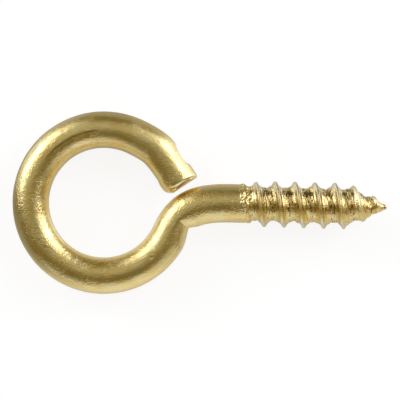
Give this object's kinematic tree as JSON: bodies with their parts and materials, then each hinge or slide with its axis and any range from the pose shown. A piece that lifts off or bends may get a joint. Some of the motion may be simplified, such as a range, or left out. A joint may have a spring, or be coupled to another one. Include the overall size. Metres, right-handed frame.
{
  "type": "screw eye",
  "caption": "Screw eye: round wire rolled into a ring on a short shank with a coarse wood-screw thread and gimlet point, to hang things or guide cord.",
  "frame": {"origin": "middle of the eye, on the middle plane of the wire", "axes": "+X along the screw from the eye to the point, +Z square to the plane of the eye, so the part lies flat as it would on a table, and +Y to the side of the eye's cut end"},
  "size_m": [0.028, 0.0136, 0.0034],
  "materials": {
    "brass_plate": "bright drawn wire with a slightly uneven brass plating"
  },
  "bodies": {
    "root": {"screw_eye": "brass_plate"}
  },
  "joints": []
}
